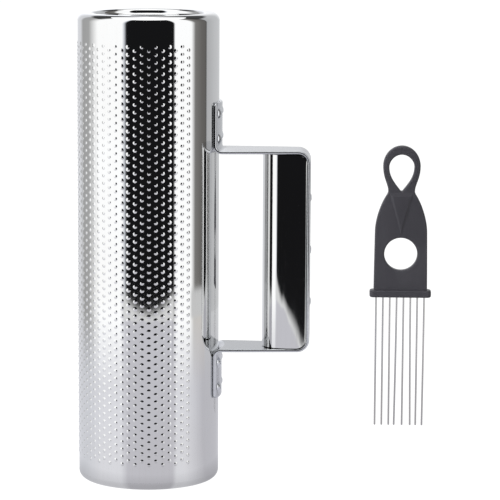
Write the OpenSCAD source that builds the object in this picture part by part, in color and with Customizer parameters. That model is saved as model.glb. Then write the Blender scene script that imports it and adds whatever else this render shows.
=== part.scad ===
/* [Body] */
// Outside diameter of the shell
shell_d = 90; // [80:1:105]
// Height of the body over both end rims
body_h = 300; // [280:1:330]
// Thickness of the shell sheet
shell_wall = 0.8; // [0.6:0.1:1.2]

/* [Bump field] */
// Distance between neighbouring bumps of one column
bump_pitch = 4.76; // [4.7:0.02:8]
// Distance between neighbouring columns of bumps
column_gap = 4.35; // [4.3:0.05:7]
// Height of a bump over the shell
bump_rise = 0.4; // [0.2:0.05:1.2]
// Least plain height between the bumps and each end of the body
field_margin = 17; // [15:1:40]
// Height of the field's middle under the body's middle
field_drop = 1; // [0:0.1:2]
// Angle left plain on the handle's side of the shell
plain_angle = 105; // [90:5:160]

/* [End caps] */
// Thickness of the cap sheet
cap_wall = 0.8; // [0.6:0.1:1]
// Outside rounding of each end rim
rim_r = 5; // [4:0.5:8]
// Width of the flat land round each end rim
rim_land = 2.5; // [1.5:0.5:5]
// Depth of the sunk end panel under its rim
panel_sink = 3.5; // [3:0.5:7]
// Bend radius between the land and the wall of the panel
panel_bend = 1.6; // [1.2:0.1:1.8]
// Inside rounding between the wall of the panel and the panel
panel_fillet = 1; // [0.6:0.1:1.2]
// Length of the cap's spigot inside the shell
spigot_h = 8; // [5:1:12]
// Clearance between the spigot and the shell
spigot_gap = 0.1; // [0.05:0.05:0.3]

/* [Handle strap] */
// Width of the strap along the grip
strap_w = 28; // [24:0.5:32]
// Width of the strap's tabs on the body
tab_w = 34; // [33:0.5:36]
// Thickness of the strap
strap_t = 2; // [1.5:0.1:3]
// Clear height between the two arms
arm_space = 125; // [110:1:140]
// Distance from the body's axis to the outer face of the strap
strap_reach = 103.5; // [98:0.5:125]
// Length of each riveted tab past its arm
tab_h = 30.5; // [29:0.5:36]
// Rounding of the free corners of the tabs
tab_corner_r = 3.5; // [2:0.5:5]
// Inside bend radius between a tab and its arm
tab_bend_r = 3; // [2:0.5:4]
// Outside bend radius of the two outer corners
strap_corner_r = 8; // [5:0.5:10]
// Height of the handle's middle under the body's middle
handle_drop = 0.8; // [0:0.1:3]
// Clearance between the tabs and the shell
tab_gap = 0.1; // [0.05:0.05:0.3]

/* [Grip] */
// Depth of the grip sleeve, from the strap towards the body
grip_depth = 28.5; // [26:0.5:32]
// Width of the grip sleeve
grip_w = 28; // [24:0.5:32]
// Thickness of the sleeve's sheet
grip_wall = 1; // [0.8:0.1:1.5]
// Rounding of the sleeve's edges along the strap
grip_back_r = 2.4; // [2:0.1:4]
// Clearance between each end of the sleeve and its arm
grip_end_gap = 0.5; // [0.3:0.1:1]

/* [Rivets] */
// Shank diameter of the tab rivets
tab_rivet_d = 4; // [3:0.2:4.8]
// Head diameter of the tab rivets
tab_head_d = 7; // [6:0.5:8]
// Head height of the tab rivets
tab_head_h = 1.5; // [1:0.1:2]
// Height of the lower row of a tab's rivets over its arm
tab_rivet_start = 7.5; // [7:0.5:9]
// Height between the two rows of a tab's rivets
tab_rivet_rise = 16; // [12:0.5:17]
// Angle between a column of tab rivets and the handle's plane
tab_rivet_angle = 14; // [12:0.5:15]
// Shank diameter of the grip rivets
grip_rivet_d = 3.2; // [2.4:0.1:4]
// Head diameter of the grip rivets
grip_head_d = 5.6; // [5:0.1:7]
// Head height of the grip rivets
grip_head_h = 0.8; // [0.6:0.1:1.2]
// Distance between neighbouring grip rivets
grip_rivet_step = 33.5; // [25:0.5:40]
// Height of the set end of each rivet behind the sheets
tail_h = 2; // [1.5:0.1:3]
// Width that the set end has more than the shank
tail_spread = 2; // [1.5:0.1:3]
// Diameter of the pulled stem left in each rivet
stem_d = 1.8; // [1.4:0.1:2]
// Width that the stem's inner end has more than its bore
stem_spread = 0.8; // [0.6:0.1:1.2]
// Depth of the stem's broken end under the top of the head
stem_sink = 0.4; // [0.2:0.1:0.6]
// Clearance round the rivets and the stems
rivet_gap = 0.05; // [0.02:0.01:0.1]

/* [Shot] */
// Diameter of one loose shot ball
shot_d = 5; // [3:0.5:7]
// Rings of balls round the middle one
shot_rings = 3; // [1:1:4]
// Clearance between neighbouring balls and under them
shot_gap = 0.3; // [0.2:0.1:1]

/* [Scraper] */
// Place of the scraper to the right of the body's axis
scraper_x = 165.5; // [150:0.5:220]
// Place of the scraper behind the body's axis
scraper_y = 161; // [0:1:200]
// Height of the scraper from the tine tips to the top of the loop
scraper_h = 198.5; // [192:0.5:220]
// Length of the tines below the collar
tine_reach = 92; // [80:1:95]
// Thickness of the handle plate
plate_t = 7; // [5:0.5:9]
// Width of the plate at its shoulders
shoulder_w = 36.4; // [34:0.2:37]
// Height of the shoulders over the collar
shoulder_h = 41.5; // [40:0.5:46]
// Width of the plate at the collar
plate_foot_w = 37.4; // [37.2:0.2:40]
// Width of the neck
neck_w = 18.6; // [16:0.2:21]
// Depth of the neck under the top of the loop
neck_drop = 32; // [31:0.5:36]
// Outside diameter of the loop
loop_d = 26; // [24:0.1:28]
// Diameter of the round end of the loop's hole
loop_hole_d = 17.4; // [14:0.2:18]
// Distance from the middle of the hole's round end to its lower tip
loop_hole_drop = 17; // [14:0.5:18]
// Width of the loop's band at the top
loop_band = 6.1; // [5:0.1:8]
// Diameter of the round window
window_d = 23; // [18:0.5:24]
// Height of the window's middle over the collar
window_rise = 25.5; // [24:0.5:27]
// Height of the wedge raised between the neck and the window
wedge_h = 0.8; // [0.4:0.1:1.2]
// Width of the collar
collar_w = 43; // [41:0.5:46]
// Thickness of the collar
collar_t = 11; // [9:0.5:13]
// Height of the collar
collar_h = 5; // [4:0.2:7]
// Number of tines
tine_count = 8; // [8]
// Diameter of a tine
tine_d = 1.3; // [1:0.1:2]
// Distance between neighbouring tines
tine_pitch = 4.8; // [4:0.1:5]
// Depth of the tines' sockets in the plate, past the collar
tine_socket = 8; // [5:0.5:9]
// Clearance round a tine in its socket
tine_gap = 0.05; // [0.02:0.01:0.1]

/* [Hidden] */
$fn = 96;
steel = [0.78, 0.79, 0.81];
bright_steel = [0.86, 0.87, 0.89];
dark_plastic = [0.13, 0.13, 0.14];
spill = 1;
shell_r = shell_d / 2;
body_mid = body_h / 2;

// Whole columns close round the tube, and neighbouring columns are half a pitch apart
columns_round = round(PI * shell_d / column_gap);
column_step = 360 / columns_round;
first_bumped = ceil(plain_angle / 2 / column_step - 0.5);
field_left = first_bumped - 1;
field_right = columns_round - 1 - field_left;
field_columns = field_right - field_left + 1;
level_gap = bump_pitch / 2;
levels = floor((body_h - 2 * field_margin) / level_gap) + 3;
column_points = levels + 2;
field_mid = body_mid - field_drop;
shell_in_r = shell_r - shell_wall;
shell_low = rim_r;
shell_high = body_h - rim_r;

// The spigot clears the flats of the rolled shell
spigot_r = shell_in_r * cos(column_step / 2) - spigot_gap;
land_in_r = shell_r - rim_r - rim_land;
panel_wall_r = land_in_r - panel_bend;

handle_mid = body_mid - handle_drop;
tab_in_r = shell_r + tab_gap;
tab_out_r = tab_in_r + strap_t;
arm_out_z = arm_space / 2 + strap_t;
tab_end_z = arm_out_z + tab_h;
arm_start = tab_out_r + tab_bend_r;
arm_lap = tab_w * tab_w / 8 / arm_start + spill;
run_in_x = strap_reach - strap_t;
tab_rivet_levels = [arm_out_z + tab_rivet_start, arm_out_z + tab_rivet_start + tab_rivet_rise];
tab_rivet_seat = tab_out_r + rivet_gap;
tail_clear = shell_in_r - sqrt(pow(shell_in_r, 2) - pow((tab_rivet_d + tail_spread) / 2, 2));
tab_grip_len = tab_rivet_seat - shell_in_r * cos(column_step / 2) + tail_clear + rivet_gap;
grip_rivet_seat = strap_reach + rivet_gap;
grip_grip_len = strap_t + grip_wall + 2 * rivet_gap;
grip_len = arm_space - 2 * grip_end_gap;

shot_step = shot_d + shot_gap;
shot_floor = panel_sink + cap_wall + shot_gap;

loop_r = loop_d / 2;
loop_z = scraper_h - loop_r;
loop_hole_r = loop_hole_d / 2;
loop_hole_z = scraper_h - loop_band - loop_hole_r;
// Radius of the hole's curved sides, which touch its round end and meet at its tip
loop_side_r = (loop_hole_r * loop_hole_r + loop_hole_drop * loop_hole_drop) / loop_hole_d;
collar_top = tine_reach + collar_h;
shoulder_z = collar_top + shoulder_h;
neck_z = scraper_h - neck_drop;
neck_h = neck_z - shoulder_z;
window_z = collar_top + window_rise;
// Radius of the round flare that runs from the neck's width to the shoulders' width
flare_in = (shoulder_w - neck_w) / 2;
flare_r = (neck_h * neck_h + flare_in * flare_in) / (2 * flare_in);
// Radius of the hollow between the neck and the loop, which touches the loop from outside
loop_rise = loop_z - neck_z;
waist_r = (neck_w * neck_w / 4 + loop_rise * loop_rise - loop_r * loop_r) / (loop_d - neck_w);
waist_x = neck_w / 2 + waist_r;
touch_share = loop_r / (loop_r + waist_r);

function around(r, angle, z) = [r * cos(angle), r * sin(angle), z];
function column_angle(i) = (i + 0.5) * column_step;
function in_field(i) = i >= field_left && i <= field_right;
function on_net(i, k) = (i + k) % 2 == 1;
function is_bump(i, k) =
  i > field_left && i < field_right && k > 1 && k < levels && on_net(i, k);
function level_z(k) =
  k == 0 ? shell_low
  : k == column_points - 1 ? shell_high
  : field_mid + (k - 1 - (levels - 1) / 2) * level_gap;
function column_start(i) =
  in_field(i) ? (i - field_left) * column_points
  : field_columns * column_points + 2 * (i < field_left ? i : i - field_columns);
function low_point(i) = column_start(i);
function high_point(i) = column_start(i) + (in_field(i) ? column_points - 1 : 1);
function up_column(i) = [for (p = [low_point(i) : high_point(i)]) p];
function down_column(i) = [for (p = [high_point(i) : -1 : low_point(i)]) p];

// One cell of the bumped skin, split along the diagonal that joins its two valleys
function cell(p, q, even) =
  even ? [[p, p + 1, q], [q, p + 1, q + 1]] : [[p, p + 1, q + 1], [p, q + 1, q]];
function skin_strip(i, j) =
  in_field(i) && in_field(j)
  ? [for (k = [0 : column_points - 2])
      for (f = cell(low_point(i) + k, low_point(j) + k, on_net(i, k))) f]
  : in_field(i) ? [concat([low_point(j)], up_column(i), [high_point(j)])]
  : [concat([low_point(i)], [high_point(i)], down_column(j))];

// The sheet rolled to a tube: bumps pressed outwards, plain ends and a plain strip for the handle
module rolled_sheet() {
  bumped = [for (i = [field_left : field_right]) for (k = [0 : column_points - 1])
    around(shell_r + (is_bump(i, k) ? bump_rise : 0), column_angle(i), level_z(k))];
  plain = [for (i = [0 : columns_round - 1]) if (!in_field(i)) for (z = [shell_low, shell_high])
    around(shell_r, column_angle(i), z)];
  inner = [for (i = [0 : columns_round - 1]) for (z = [shell_low, shell_high])
    around(shell_in_r, column_angle(i), z)];
  inner_start = len(bumped) + len(plain);
  strips = [for (i = [0 : columns_round - 1])
    let (j = (i + 1) % columns_round, a = inner_start + 2 * i, b = inner_start + 2 * j)
    concat(skin_strip(i, j), [
      [a, b, b + 1, a + 1],
      [low_point(i), low_point(j), b, a],
      [high_point(j), high_point(i), a + 1, b + 1]
    ])];
  polyhedron(concat(bumped, plain, inner), [for (s = strips) for (f = s) f], convexity = 6);
}

// Places a child at every tab rivet of one side, its +Z pointing away from the body's axis
module at_tab_rivets(side, seat) {
  for (level = tab_rivet_levels)
    for (angle = [-tab_rivet_angle, tab_rivet_angle])
      rotate([0, 0, angle])
        translate([seat, 0, handle_mid + side * level])
          rotate([0, 90, 0])
            children();
}

// Places a child at every grip rivet, its +Z pointing away from the body's axis
module at_grip_rivets(seat) {
  for (i = [-1 : 1])
    translate([seat, 0, handle_mid + i * grip_rivet_step])
      rotate([0, 90, 0])
        children();
}

module shell() {
  color(bright_steel)
    difference() {
      rolled_sheet();
      for (side = [-1, 1])
        at_tab_rivets(side, shell_in_r - spill)
          cylinder(d = tab_rivet_d + 2 * rivet_gap, h = shell_wall + 2 * spill);
    }
}

// Quarter of a ring in one quadrant round its centre
module quarter_ring(outer, inner, turn) {
  rotate(turn)
    intersection() {
      difference() {
        circle(r = outer);
        circle(r = inner);
      }
      square(outer);
    }
}

// Half section of an end cap, standing on its rim
module cap_section() {
  translate([shell_r - rim_r, rim_r])
    quarter_ring(rim_r, rim_r - cap_wall, -90);
  translate([land_in_r, 0])
    square([rim_land, cap_wall]);
  translate([land_in_r, panel_bend])
    quarter_ring(panel_bend, panel_bend - cap_wall, 180);
  translate([panel_wall_r, panel_bend])
    square([cap_wall, panel_sink - panel_fillet - panel_bend]);
  translate([panel_wall_r - panel_fillet, panel_sink - panel_fillet])
    quarter_ring(panel_fillet + cap_wall, panel_fillet, 0);
  translate([0, panel_sink])
    square([panel_wall_r - panel_fillet, cap_wall]);
  translate([spigot_r - cap_wall, rim_r - cap_wall])
    square([shell_r - cap_wall / 2 - spigot_r + cap_wall, cap_wall]);
  translate([spigot_r - cap_wall, rim_r - cap_wall])
    square([cap_wall, cap_wall + spigot_h]);
}

module bottom_cap() {
  color(steel)
    rotate_extrude()
      cap_section();
}

module top_cap() {
  color(steel)
    translate([0, 0, body_h])
      mirror([0, 0, 1])
        rotate_extrude()
          cap_section();
}

// Half section of the tab, its bend and the start of its arm, above the handle's middle
module tab_section() {
  translate([tab_in_r, arm_out_z + tab_bend_r])
    square([strap_t, tab_h - tab_bend_r]);
  translate([arm_start, arm_out_z + tab_bend_r])
    quarter_ring(tab_bend_r + strap_t, tab_bend_r, 180);
  translate([arm_start, arm_out_z - strap_t])
    square([arm_lap + spill, strap_t]);
}

// Outline of the tab seen from outside, with its two free corners rounded
module tab_outline() {
  straight = tab_end_z - tab_corner_r;
  translate([-tab_w / 2, 0])
    square([tab_w, straight]);
  translate([-tab_w / 2 + tab_corner_r, 0])
    square([tab_w - 2 * tab_corner_r, tab_end_z]);
  for (side = [-1, 1])
    translate([side * (tab_w / 2 - tab_corner_r), straight])
      circle(r = tab_corner_r);
}

module tab() {
  intersection() {
    rotate_extrude()
      tab_section();
    rotate([90, 0, 90])
      linear_extrude(tab_out_r + 2 * tab_w)
        tab_outline();
  }
}

// Half of the strap's side outline: one arm, its outer corner and half of the outer run
module strap_side() {
  translate([arm_start, arm_out_z - strap_t])
    square([strap_reach - strap_corner_r - arm_start, strap_t]);
  translate([strap_reach - strap_corner_r, arm_out_z - strap_corner_r])
    quarter_ring(strap_corner_r, strap_corner_r - strap_t, 0);
  translate([run_in_x, 0])
    square([strap_t, arm_out_z - strap_corner_r]);
}

// Plan of an arm and the outer run: full width on the tab, narrower along the grip
module strap_plan() {
  taper_start = arm_start + arm_lap;
  taper_end = strap_reach - strap_corner_r;
  polygon([
    [arm_start, -tab_w / 2],
    [taper_start, -tab_w / 2],
    [taper_end, -strap_w / 2],
    [strap_reach + spill, -strap_w / 2],
    [strap_reach + spill, strap_w / 2],
    [taper_end, strap_w / 2],
    [taper_start, tab_w / 2],
    [arm_start, tab_w / 2]
  ]);
}

module half_strap() {
  tab();
  intersection() {
    rotate([90, 0, 0])
      linear_extrude(tab_w + 2 * spill, center = true)
        strap_side();
    linear_extrude(tab_end_z)
      strap_plan();
  }
}

module handle_strap() {
  color(steel)
    difference() {
      translate([0, 0, handle_mid]) {
        half_strap();
        mirror([0, 0, 1])
          half_strap();
      }
      for (side = [-1, 1])
        at_tab_rivets(side, tab_in_r - spill)
          cylinder(d = tab_rivet_d + 2 * rivet_gap, h = strap_t + 2 * spill);
      at_grip_rivets(run_in_x - spill)
        cylinder(d = grip_rivet_d + 2 * rivet_gap, h = strap_t + 2 * spill);
    }
}

// Section of the sleeve: half round on the fingers' side at x = 0, nearly square along the strap
module sleeve_outline(inset) {
  back = grip_back_r - inset;
  half = grip_w / 2 - inset;
  flat = grip_depth - grip_w / 2 - inset;
  translate([grip_w / 2, 0])
    circle(r = half);
  translate([grip_w / 2, -half])
    square([flat - back, 2 * half]);
  translate([grip_w / 2, -half + back])
    square([flat, 2 * (half - back)]);
  for (side = [-1, 1])
    translate([grip_depth - inset - back, side * (half - back)])
      circle(r = back);
}

// Side outline of the sleeve, rounded where it lies in the strap's corners
module sleeve_side() {
  corner = strap_corner_r - strap_t + grip_end_gap;
  translate([0, -grip_len / 2])
    square([grip_depth - corner, grip_len]);
  translate([0, -grip_len / 2 + corner])
    square([grip_depth, grip_len - 2 * corner]);
  for (side = [-1, 1])
    translate([grip_depth - corner, side * (grip_len / 2 - corner)])
      circle(r = corner);
}

module grip_sleeve() {
  color(bright_steel)
    difference() {
      translate([run_in_x - grip_depth, 0, handle_mid])
        intersection() {
          linear_extrude(grip_len, center = true)
            difference() {
              sleeve_outline(0);
              sleeve_outline(grip_wall);
            }
          rotate([90, 0, 0])
            linear_extrude(grip_w + 2 * spill, center = true)
              sleeve_side();
        }
      at_grip_rivets(run_in_x - grip_wall - spill)
        cylinder(d = grip_rivet_d + 2 * rivet_gap, h = grip_wall + 2 * spill);
    }
}

// Blind rivet: domed head above its seat at z = 0, shank and set end below, bored for the stem
module rivet(shank_d, head_d, head_h, grip) {
  dome_r = (head_d * head_d / 4 + head_h * head_h) / (2 * head_h);
  difference() {
    union() {
      intersection() {
        translate([0, 0, head_h - dome_r])
          sphere(r = dome_r);
        cylinder(d = head_d + spill, h = head_h + spill);
      }
      translate([0, 0, -grip - tail_h])
        cylinder(d = shank_d, h = grip + tail_h + head_h / 2);
      translate([0, 0, -grip - tail_h])
        cylinder(d = shank_d + tail_spread, h = tail_h);
    }
    translate([0, 0, -grip - tail_h - spill])
      cylinder(d = stem_d + 2 * rivet_gap, h = grip + tail_h + head_h + 2 * spill);
  }
}

// Pulled stem left in a rivet: a pin whose wide end holds against the set end
module stem(head_h, grip) {
  translate([0, 0, -grip - tail_h - rivet_gap])
    cylinder(d = stem_d, h = grip + tail_h + rivet_gap + head_h - stem_sink);
  translate([0, 0, -grip - tail_h - rivet_gap - stem_d / 2])
    cylinder(d = stem_d + 2 * rivet_gap + stem_spread, h = stem_d / 2);
}

module upper_rivets() {
  color(bright_steel)
    at_tab_rivets(1, tab_rivet_seat)
      rivet(tab_rivet_d, tab_head_d, tab_head_h, tab_grip_len);
}

module lower_rivets() {
  color(bright_steel)
    at_tab_rivets(-1, tab_rivet_seat)
      rivet(tab_rivet_d, tab_head_d, tab_head_h, tab_grip_len);
}

module grip_rivets() {
  color(bright_steel)
    at_grip_rivets(grip_rivet_seat)
      rivet(grip_rivet_d, grip_head_d, grip_head_h, grip_grip_len);
}

module tab_rivet_stems() {
  color(steel)
    for (side = [-1, 1])
      at_tab_rivets(side, tab_rivet_seat)
        stem(tab_head_h, tab_grip_len);
}

module grip_rivet_stems() {
  color(steel)
    at_grip_rivets(grip_rivet_seat)
      stem(grip_head_h, grip_grip_len);
}

// Loose balls in one flat layer on the bottom panel, in rings round the middle one
module shot() {
  color(steel)
    for (i = [-shot_rings : shot_rings])
      for (j = [max(-shot_rings, -shot_rings - i) : min(shot_rings, shot_rings - i)])
        translate([(i + j / 2) * shot_step, j * shot_step * sin(60), shot_floor + shot_d / 2])
          sphere(d = shot_d);
}

// Teardrop hole of the loop: a round end with two curved sides that meet below it
module loop_hole() {
  circle(r = loop_hole_r);
  intersection() {
    translate([loop_side_r - loop_hole_r, 0])
      circle(r = loop_side_r);
    translate([loop_hole_r - loop_side_r, 0])
      circle(r = loop_side_r);
    translate([-loop_hole_r, -loop_hole_drop - spill])
      square([loop_hole_d, loop_hole_drop + spill]);
  }
}

// Loop and the waist under it, down to the neck
module loop_outline() {
  touch_x = touch_share * waist_x;
  touch_z = loop_z - touch_share * loop_rise;
  translate([0, loop_z])
    circle(r = loop_r);
  difference() {
    translate([-touch_x, neck_z - spill])
      square([2 * touch_x, touch_z - neck_z + spill]);
    for (side = [-1, 1])
      translate([side * waist_x, neck_z])
        circle(r = waist_r);
  }
}

// Flat outline of the scraper's plate, from the collar to the loop
module plate_outline() {
  polygon([
    [-plate_foot_w / 2, collar_top - spill],
    [plate_foot_w / 2, collar_top - spill],
    [shoulder_w / 2, shoulder_z],
    [-shoulder_w / 2, shoulder_z]
  ]);
  intersection() {
    translate([flare_r - shoulder_w / 2, shoulder_z])
      circle(r = flare_r);
    translate([shoulder_w / 2 - flare_r, shoulder_z])
      circle(r = flare_r);
    translate([-shoulder_w / 2, shoulder_z - spill])
      square([shoulder_w, neck_h + spill]);
  }
  loop_outline();
}

module plate_cuts() {
  translate([0, loop_hole_z])
    loop_hole();
  translate([0, window_z])
    circle(d = window_d);
}

// Wedge raised on both faces, from the width of the neck down to the top of the window
module wedge_outline() {
  half = neck_w / 2 - wedge_h;
  polygon([
    [-half, neck_z],
    [half, neck_z],
    [0, window_z + window_d / 2 - 2 * wedge_h]
  ]);
}

// Turns a flat outline upright, spread evenly to both sides of the scraper's middle plane
module upright(thickness) {
  rotate([90, 0, 0])
    linear_extrude(thickness, center = true)
      children();
}

module collar() {
  end_r = collar_t / 2;
  translate([0, 0, tine_reach])
    linear_extrude(collar_h) {
      square([collar_w - collar_t, collar_t], center = true);
      for (side = [-1, 1])
        translate([side * (collar_w / 2 - end_r), 0])
          circle(r = end_r);
    }
}

function tine_x(i) = (i - (tine_count + 1) / 2) * tine_pitch;

module scraper_handle() {
  color(dark_plastic)
    translate([scraper_x, scraper_y, 0])
      difference() {
        union() {
          upright(plate_t)
            plate_outline();
          upright(plate_t + 2 * wedge_h)
            wedge_outline();
          collar();
        }
        upright(plate_t + 2 * wedge_h + 2 * spill)
          plate_cuts();
        for (i = [1 : tine_count])
          translate([tine_x(i), 0, tine_reach - spill])
            cylinder(d = tine_d + 2 * tine_gap, h = collar_h + tine_socket + spill);
      }
}

// Steel tine: round wire with a rounded tip, pushed home in its socket
module tine(i) {
  color(steel)
    translate([scraper_x + tine_x(i), scraper_y, 0]) {
      translate([0, 0, tine_d / 2])
        sphere(d = tine_d);
      translate([0, 0, tine_d / 2])
        cylinder(d = tine_d, h = collar_top + tine_socket - tine_gap - tine_d / 2);
    }
}

shell();
top_cap();
bottom_cap();
handle_strap();
grip_sleeve();
upper_rivets();
lower_rivets();
grip_rivets();
tab_rivet_stems();
grip_rivet_stems();
shot();
scraper_handle();
tine(1);  // tine_1
tine(2);  // tine_2
tine(3);  // tine_3
tine(4);  // tine_4
tine(5);  // tine_5
tine(6);  // tine_6
tine(7);  // tine_7
tine(8);  // tine_8
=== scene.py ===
import math

import bmesh
import bpy
from mathutils import Matrix, Vector


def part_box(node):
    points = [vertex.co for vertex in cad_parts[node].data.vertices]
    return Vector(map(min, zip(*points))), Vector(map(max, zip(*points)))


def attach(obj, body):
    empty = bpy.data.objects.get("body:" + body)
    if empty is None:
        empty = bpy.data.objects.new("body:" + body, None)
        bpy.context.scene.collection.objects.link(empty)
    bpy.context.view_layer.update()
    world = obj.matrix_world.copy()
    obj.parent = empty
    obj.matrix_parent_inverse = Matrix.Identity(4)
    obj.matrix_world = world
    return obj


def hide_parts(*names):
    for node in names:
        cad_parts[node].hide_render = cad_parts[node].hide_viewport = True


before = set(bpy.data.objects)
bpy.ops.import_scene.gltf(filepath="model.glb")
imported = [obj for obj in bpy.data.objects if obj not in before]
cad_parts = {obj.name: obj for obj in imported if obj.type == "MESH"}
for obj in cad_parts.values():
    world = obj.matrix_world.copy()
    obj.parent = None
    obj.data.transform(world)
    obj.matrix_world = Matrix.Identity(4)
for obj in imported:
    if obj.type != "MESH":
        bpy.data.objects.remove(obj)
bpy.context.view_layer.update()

mm = 0.001
capLow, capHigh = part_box("bottom_cap")
tubeR = capHigh.x  # the caps are as wide as the plain shell
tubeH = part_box("top_cap")[1].z
tubeMid = tubeH / 2
scene = bpy.context.scene
scene.view_settings.view_transform = "Standard"


# Shader wiring

class Wire:  # a socket that takes part in arithmetic
    def __init__(self, kit, socket):
        self.kit = kit
        self.socket = socket

    def maths(self, operation, first, second):
        return self.kit.node("ShaderNodeMath", {"operation": operation}, {0: first, 1: second})

    def __add__(self, other):
        return self.maths("ADD", self, other)

    def __radd__(self, other):
        return self.maths("ADD", other, self)

    def __sub__(self, other):
        return self.maths("SUBTRACT", self, other)

    def __rsub__(self, other):
        return self.maths("SUBTRACT", other, self)

    def __mul__(self, other):
        return self.maths("MULTIPLY", self, other)

    def __rmul__(self, other):
        return self.maths("MULTIPLY", other, self)

    def __truediv__(self, other):
        return self.maths("DIVIDE", self, other)

    def __rtruediv__(self, other):
        return self.maths("DIVIDE", other, self)

    def __pow__(self, other):
        return self.maths("POWER", self, other)

    def __rpow__(self, other):
        return self.maths("POWER", other, self)


class Kit:  # one material or world and the nodes in it
    def __init__(self, holder):
        self.holder = holder
        self.holder.use_nodes = True
        self.tree = self.holder.node_tree
        self.tree.nodes.clear()

    def node(self, kind, settings=None, sockets=None, out=0):
        made = self.tree.nodes.new(kind)
        for key, value in (settings or {}).items():
            if key == "stops":  # a ramp's places and colours
                ramp = made.color_ramp
                while len(ramp.elements) < len(value):
                    ramp.elements.new(1.0)
                for element, (place, colour) in zip(ramp.elements, value):
                    element.position = place
                    element.color = colour
            else:
                setattr(made, key, value)
        for key, value in (sockets or {}).items():
            if isinstance(value, Wire):
                self.tree.links.new(value.socket, made.inputs[key])
            else:
                made.inputs[key].default_value = value
        return Wire(self, made.outputs[out]) if made.outputs else None

    def noise(self, scale, detail, stretch=(1, 1, 1)):
        spot = self.node("ShaderNodeTexCoord", out="Object")
        place = self.node("ShaderNodeMapping", None, {"Vector": spot, "Scale": stretch})
        return self.node("ShaderNodeTexNoise", None, {"Vector": place, "Scale": scale, "Detail": detail})

    def blend(self, factor, first, second):
        return self.node("ShaderNodeMix", {"data_type": "RGBA"}, {0: factor, 6: first, 7: second}, out=2)

    def span(self, value, low, high, newLow, newHigh):
        sockets = {"Value": value, 1: low, 2: high, 3: newLow, 4: newHigh}
        return self.node("ShaderNodeMapRange", {"clamp": True}, sockets)

    def bump(self, height, strength, distance):
        sockets = {"Height": height, "Strength": strength, "Distance": distance}
        return self.node("ShaderNodeBump", None, sockets)

    def finish(self, **sockets):
        named = {key.replace("_", " "): value for key, value in sockets.items()}
        shader = self.node("ShaderNodeBsdfPrincipled", None, named)
        self.node("ShaderNodeOutputMaterial", None, {"Surface": shader})
        return self.holder


def newKit(name):
    return Kit(bpy.data.materials.new(name))


def grey(value, tint=(1.0, 1.0, 1.0)):
    return (value * tint[0], value * tint[1], value * tint[2], 1.0)


# Finishes

def roughness(settings, share):  # from the smooth to the rough end of a finish
    return settings["roughLow"] + (settings["roughHigh"] - settings["roughLow"]) * share


polishSet = {"bright": grey(0.74, (0.985, 0.995, 1.0)), "dull": grey(0.68, (1.0, 0.995, 0.985)),
             "roughLow": 0.025, "roughHigh": 0.075, "smudges": 14.0, "hairlines": 900.0,
             "dents": 9.0, "dentDepth": 2 * mm, "wave": 0.006}


def polishedSteel(name, stretch):
    s = polishSet
    kit = newKit(name)
    cloud = kit.span(kit.noise(s["smudges"], 4.0), 0.35, 0.7, 0.0, 1.0)
    lines = kit.span(kit.noise(s["hairlines"], 2.0, stretch), 0.45, 0.75, 0.0, 1.0)
    colour = kit.blend(cloud * 0.6 + lines * 0.25, s["bright"], s["dull"])
    dents = kit.bump(kit.noise(s["dents"], 1.0), s["wave"], s["dentDepth"])
    return kit.finish(Base_Color=colour, Metallic=1.0, Roughness=roughness(s, cloud * 0.6 + lines * 0.4),
                      Normal=dents)


satinSet = {"bright": (0.96, 0.985, 1.03), "dull": (0.97, 0.99, 1.02), "wire": (1.0, 0.97, 0.92),
            "fade": 0.84, "roughLow": 0.09, "roughHigh": 0.2, "lines": 700.0, "wear": 22.0,
            "grain": 0.03, "grainDepth": 0.3 * mm}


def satinSteel(name, stretch, level=0.72, tint="bright"):
    s = satinSet
    kit = newKit(name)
    grain = kit.noise(s["lines"], 3.0, stretch)
    wear = kit.span(kit.noise(s["wear"], 5.0), 0.4, 0.72, 0.0, 1.0)
    lines = kit.span(grain, 0.35, 0.7, 0.0, 1.0)
    fresh, faded = grey(level, s[tint]), grey(level * s["fade"], s["dull"])
    colour = kit.blend(lines * 0.5 + wear * 0.35, fresh, faded)
    return kit.finish(Base_Color=colour, Metallic=1.0, Roughness=roughness(s, lines * 0.6 + wear * 0.4),
                      Normal=kit.bump(grain, s["grain"], s["grainDepth"]))


plasticSet = {"base": grey(0.043, (1.0, 0.97, 1.15)), "worn": grey(0.068, (1.0, 0.98, 1.12)),
              "roughLow": 0.3, "roughHigh": 0.46, "fine": 1500.0, "flow": 60.0, "scuffs": 35.0,
              "grain": 0.10, "grainDepth": 0.15 * mm, "sheen": 0.25}


def charcoalPlastic(name):
    s = plasticSet
    kit = newKit(name)
    fine = kit.noise(s["fine"], 2.0)
    flow = kit.span(kit.noise(s["flow"], 4.0, (1.0, 1.0, 0.35)), 0.3, 0.7, 0.0, 0.4)
    scuff = kit.span(kit.noise(s["scuffs"], 6.0), 0.55, 0.78, 0.0, 1.0)
    colour = kit.blend(scuff * 0.5 + flow, s["base"], s["worn"])
    return kit.finish(Base_Color=colour, Roughness=roughness(s, fine * 0.5 + scuff * 0.5),
                      Specular_IOR_Level=s["sheen"], Normal=kit.bump(fine, s["grain"], s["grainDepth"]))


shellSteel = polishedSteel("shell_steel", (1.0, 1.0, 0.02))
capSteel = polishedSteel("cap_steel", (1.0, 1.0, 1.0))
gripSteel = polishedSteel("grip_steel", (1.0, 1.0, 0.02))
strapSteel = satinSteel("strap_steel", (0.02, 1.0, 1.0), 0.63)
rivetSteel = satinSteel("rivet_steel", (1.0, 1.0, 1.0))
wireSteel = satinSteel("wire_steel", (1.0, 1.0, 0.02), 0.58, "wire")
shotSteel = satinSteel("shot_steel", (1.0, 1.0, 1.0))
plastic = charcoalPlastic("charcoal_plastic")
print("finishes made")


# Mesh helpers

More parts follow.
